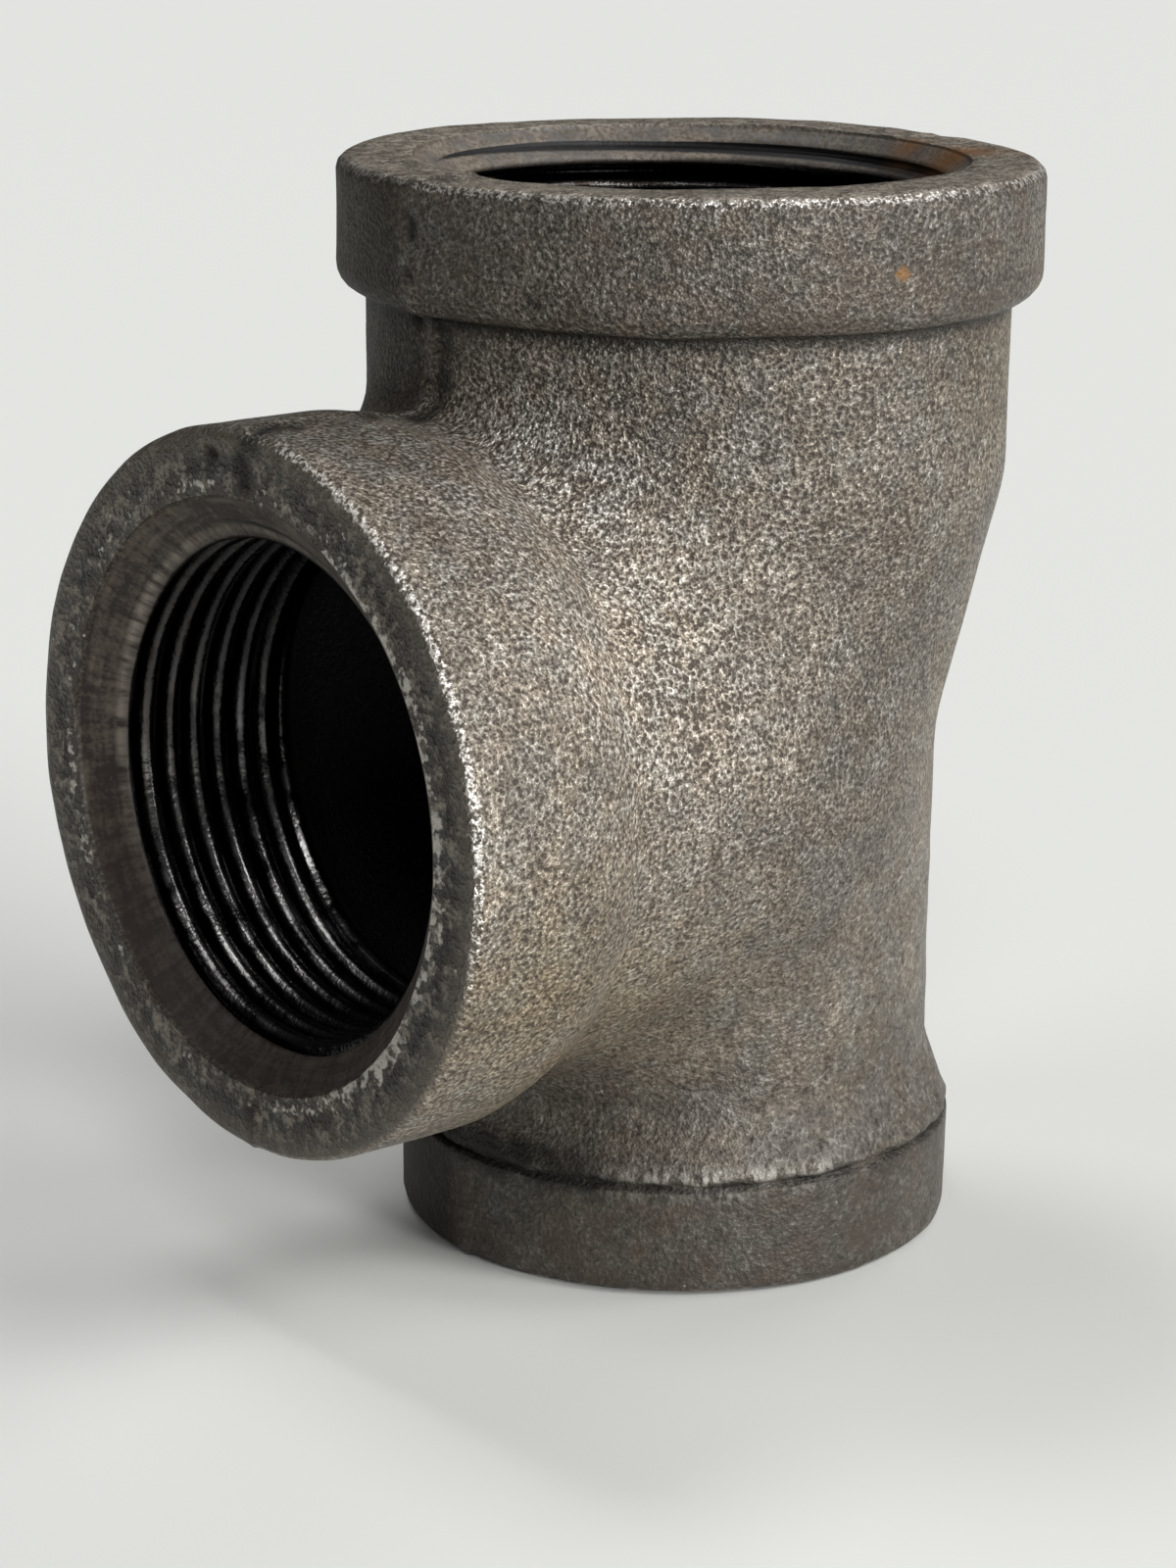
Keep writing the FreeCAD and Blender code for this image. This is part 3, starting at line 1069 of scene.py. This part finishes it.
# %% Wear, painted highlights and painted shade
RUBBED_HIGHLIGHT = (0.55, 0.515, 0.455, 1)
CHIP = (0.44, 0.42, 0.37, 1)
PAINTED_SHADE = (0.010, 0.008, 0.006, 1)
BARE_METAL_AND_HIGHLIGHT = (0.72, 0.69, 0.65, 1)
round_place = add("ShaderNodeAttribute", {"attribute_name": "around"}).outputs["Vector"]
height_up = add("ShaderNodeSeparateXYZ", vector=place).outputs[2]
stitches = noise(round_place, 0.6, 1, 0.5, times(height_up, 0.45))
# stitches of painted highlight, standing for rubbed metal too, beside the lower crease
bead_and_edge_highlight = times(carried("rub"), rise(stitches, 0.44, 0.54))
skin_colour = mixed(bead_and_edge_highlight, skin_colour, RUBBED_HIGHLIGHT)
flakes = noise(place, 0.9, 2, 0.6, 13)
chip_here = rise(total((carried("chips"), 0.30), (flakes, 1.0)), 0.69, 0.79)
skin_colour = mixed(chip_here, skin_colour, CHIP)
# painted shade in creases and pits
skin_colour = mixed(times(carried("crease"), 0.9), skin_colour, PAINTED_SHADE)
skin_colour = mixed(rise(carried("pit"), 0.1, 0.7), skin_colour, PAINTED_SHADE)
# edges are worn bare and also painted bright as highlight
edge_grain = total((grain, 0.6), (fine, 0.25), (lumps, 0.15))
worn_and_highlight = rise(total((carried("edge"), 0.75), (edge_grain, 1.3)), 1.18, 1.42)
skin_colour = mixed(worn_and_highlight, skin_colour, BARE_METAL_AND_HIGHLIGHT)
lighting = carried("light")
shade = add("ShaderNodeCombineColor", red=lighting, green=lighting, blue=lighting).outputs[0]
skin_colour = tinted(1.0, skin_colour, shade)
print("nodes with the wear", len(tree.nodes))

# %% [markdown]
# The cut places are machined metal that has gone dark. In a countersink the tool left chatter
# across its path and long arcs along it. Their noise runs round the bore, and its seed grows with
# the depth: slowly for the chatter, which so reaches across, and fast for the arcs, which so stay
# narrow. Crests of the thread are smooth and dark, and painted darker deeper in as shade. Low on
# the -X side of the branch's bore they are painted lighter as glints, with bright lips that stand
# for rubbed metal and painted highlight both. The grooves and the far end of each bore are painted
# black as shade.

# %% Marks of the tools
cut_here = carried("cut")
deep = carried("depth_in")
chatter = noise(round_place, 0.9, 2, 0.6, times(deep, 0.35 * MM))
arcs = noise(round_place, 9.0, 2, 0.6, times(deep, 9.0 * MM))
turned = noise(round_place, 5.0, 1, 0.5, times(deep, 14.0 * MM))
streak = noise(place, 2.5, 3, 0.6, 9)
marks = total((chatter, 0.30), (turned, 0.24), (arcs, 0.26), (grain, 0.20))
cut_height = total((streak, 0.03), (marks, 0.25))
print("nodes with the tool marks", len(tree.nodes))

# %% Colours of the cut places
SINK_BROWN = (0.020, 0.013, 0.010, 1)
SINK_TAN = (0.094, 0.076, 0.058, 1)
RING_TAN = (0.21, 0.18, 0.15, 1)
SLATE = (0.10, 0.098, 0.096, 1)
TAN_METAL = (0.20, 0.170, 0.136, 1)
CREST_GREY = (0.050, 0.047, 0.046, 1)
CREST_SHADED = (0.028, 0.027, 0.028, 1)
GLINT_GREY = (0.17, 0.165, 0.165, 1)
LIP_METAL_GLINT = (0.55, 0.54, 0.53, 1)
SHADE_BLACK = (0.004, 0.004, 0.004, 1)
sink_colour = mixed(rise(marks, 0.45, 0.60), SINK_BROWN, SINK_TAN)
upper_sink = mixed(rise(tint, 0.40, 0.60), SLATE, TAN_METAL)
upper_sink = mixed(rise(grain, 0.60, 0.35), upper_sink, SINK_TAN)
sink_colour = mixed(times(carried("upper_mouth"), 0.85), sink_colour, upper_sink)
tan_ring = times(rise(deep, 1.9, 2.2), rise(chatter, 0.36, 0.60))
sink_colour = mixed(times(tan_ring, carried("tan_ring")), sink_colour, RING_TAN)
# the branch's countersink is darker towards its bottom
sink_colour = mixed(times(carried("darker_low_in_mouth"), 0.6), sink_colour, SINK_BROWN)

crest_colour = mixed(rise(streak, 0.50, 0.66), CREST_GREY, SINK_BROWN)
# painted shade: crests darker deeper in the bore
crest_colour = mixed(rise(deep, 4.0, 10.0), crest_colour, CREST_SHADED)
thread_glint = times(carried("thread_glint_patch"), rise(streak, 0.36, 0.56))
crest_colour = mixed(thread_glint, crest_colour, GLINT_GREY)

on_thread = rise(deep, 2.3, 2.9)
cut_colour = mixed(on_thread, sink_colour, crest_colour)
# painted shade: black at the far end of each bore and in the grooves
cut_colour = mixed(rise(deep, 12.0, 17.0), cut_colour, SHADE_BLACK)
groove_shade = total((carried("groove"), 1.0), (chatter, 0.16), (1.0, -0.08))
cut_colour = mixed(rise(groove_shade, 0.12, 0.38), cut_colour, SHADE_BLACK)
cut_colour = mixed(times(carried("crest_lip"), thread_glint), cut_colour, LIP_METAL_GLINT)
print("nodes with the thread", len(tree.nodes))

# %% [markdown]
# Last come the burnt sand of the core, a stain of rust at the back of the upper mouth, and one
# small crisp spot of orange rust on the upper band. The spot is all that lies within a distance
# of its middle, and the grain makes its rim ragged.

# %% Core and rust
BURNT_SAND = (0.008, 0.007, 0.006, 1)
RUST = (0.17, 0.075, 0.022, 1)
ORANGE_RUST = (0.20, 0.098, 0.030, 1)
SPOT = (27.35, -3.9, 38.7)
core_here = carried("core")
rust_here = carried("rust")
from_spot = add("ShaderNodeVectorMath", {"operation": "DISTANCE"})
connect(place, from_spot.inputs[0])
connect(tuple(value * MM for value in SPOT), from_spot.inputs[1])
spot_here = rise(total((from_spot.outputs["Value"], 1 / MM), (grain, 1.2)), 1.25, 0.95)
colour = mixed(cut_here, skin_colour, cut_colour)
colour = mixed(core_here, colour, BURNT_SAND)
colour = mixed(rust_here, colour, RUST)
colour = mixed(times(spot_here, 0.85), colour, ORANGE_RUST)
print("nodes with the rust", len(tree.nodes))

# %% [markdown]
# Iron oxide isn't metallic, but a rubbed ridge, a worn edge and the thread are. So how metallic
# and how rough a place is follows the same noise as its colour. Rust and core are wholly dull.

# %% Shader of the casting
in_shadow = rise(lighting, 0.8, 0.3)
skin_rough = total((1.0, 0.53), (top, -0.2), (worn_and_highlight, -0.1), (in_shadow, 0.2))
cut_rough = total((1.0, 0.20), (streak, 0.16), (rise(deep, 2.9, 2.3), 0.28))
rough_here = blended(cut_here, skin_rough, cut_rough)
height_here = blended(cut_here, skin_height, cut_height)
skin_shine = total((rise(top, 0.40, 0.62), 0.55), (worn_and_highlight, 0.4), clamp=True)
skin_shine = times(skin_shine, rise(lighting, 0.15, 0.85))
skin_shine = blended(times(face_here, 0.7), skin_shine, worn_and_highlight)
shine = blended(cut_here, skin_shine, on_thread)
shine = blended(maths("MAXIMUM", rust_here, spot_here), shine, 0.0)
shine = blended(core_here, shine, 0.0)
bump = add("ShaderNodeBump", strength=1.0, distance=MM, height=height_here)
shader = add(
    "ShaderNodeBsdfPrincipled", specular_ior_level=0.3,
    base_color=colour, roughness=rough_here, metallic=shine, normal=bump.outputs[0],
)
add("ShaderNodeOutputMaterial", surface=shader.outputs[0])
casting.data.materials.append(iron)
print("nodes of black iron", len(tree.nodes))

# %% [markdown]
# ## Floor and light
# The tee stands on a pale sheet that fills the picture, a hair below its end face so that the two
# don't flicker. It is a plain square, because it isn't part of the object.

# %% Floor
HALF_SIDE = 3.0
FLOOR_GAP = 0.0001
SHEET_COLOUR = (0.82, 0.83, 0.80, 1)
floor_height = float(cad_low.z) - FLOOR_GAP
corners = [(-1, -1), (1, -1), (1, 1), (-1, 1)]
floor_mesh = bpy.data.meshes.new("floor")
floor_mesh.from_pydata(
    [(a * HALF_SIDE, b * HALF_SIDE, floor_height) for a, b in corners], [], [(0, 1, 2, 3)],
)
floor = bpy.data.objects.new("floor", floor_mesh)
bpy.context.scene.collection.objects.link(floor)
sheet = bpy.data.materials.new("pale_sheet")
sheet.use_nodes = True
sheet_shader = sheet.node_tree.nodes["Principled BSDF"]
sheet_shader.inputs["Base Color"].default_value = SHEET_COLOUR
sheet_shader.inputs["Roughness"].default_value = 0.9
floor_mesh.materials.append(sheet)
print("floor at", round(floor_height / MM, 1), "mm")

# %% [markdown]
# Seven broad lamps stand far away, so each lights the sheet evenly and throws a soft shadow. The
# strongest is a low window to the right of the camera, which gives the body its shape. Two more
# on that side fill the necks, and weaker ones from the left, from behind and from above shape the
# shadows on the sheet. The one above the camera is there for the glints on the thread.

# %% Lamps
# angle from the camera to its right, height and breadth in degrees, and strength
LAMPS = {
    "window": (44, 8, 22, 3.25),
    "side": (68, 39, 22, 1.10),
    "far side": (103, 28, 22, 0.71),
    "left": (-66, 38, 24, 0.42),
    "overhead": (-140, 68, 16, 0.67),
    "behind": (150, 50, 24, 0.31),
    "ceiling": (3, 45, 18, 0.45),
}
SKY = (0.97, 0.98, 1.0, 1)
SKY_STRENGTH = 0.03


def far_lamp(name, side_angle, height_angle, breadth, strength):
    """A lamp too far away to have a place: only the direction it shines from counts."""
    data = bpy.data.lights.new(name, "SUN")
    data.angle = math.radians(breadth)
    data.energy = strength
    made = bpy.data.objects.new(name, data)
    towards = Vector((back.x, back.y, 0)).normalized()
    a, e = math.radians(side_angle), math.radians(height_angle)
    level_part = towards * math.cos(a) + right * math.sin(a)
    spot = level_part * math.cos(e) + Vector((0, 0, math.sin(e)))
    made.matrix_world = spot.to_track_quat("Z", "Y").to_matrix().to_4x4()
    bpy.context.scene.collection.objects.link(made)


for name, values in LAMPS.items():
    far_lamp(name, *values)
world = bpy.data.worlds.new("studio")
world.use_nodes = True
background = world.node_tree.nodes["Background"]
background.inputs["Color"].default_value = SKY
background.inputs["Strength"].default_value = SKY_STRENGTH
bpy.context.scene.world = world
bpy.context.scene.view_settings.view_transform = "Standard"
print("lamps", len(LAMPS))
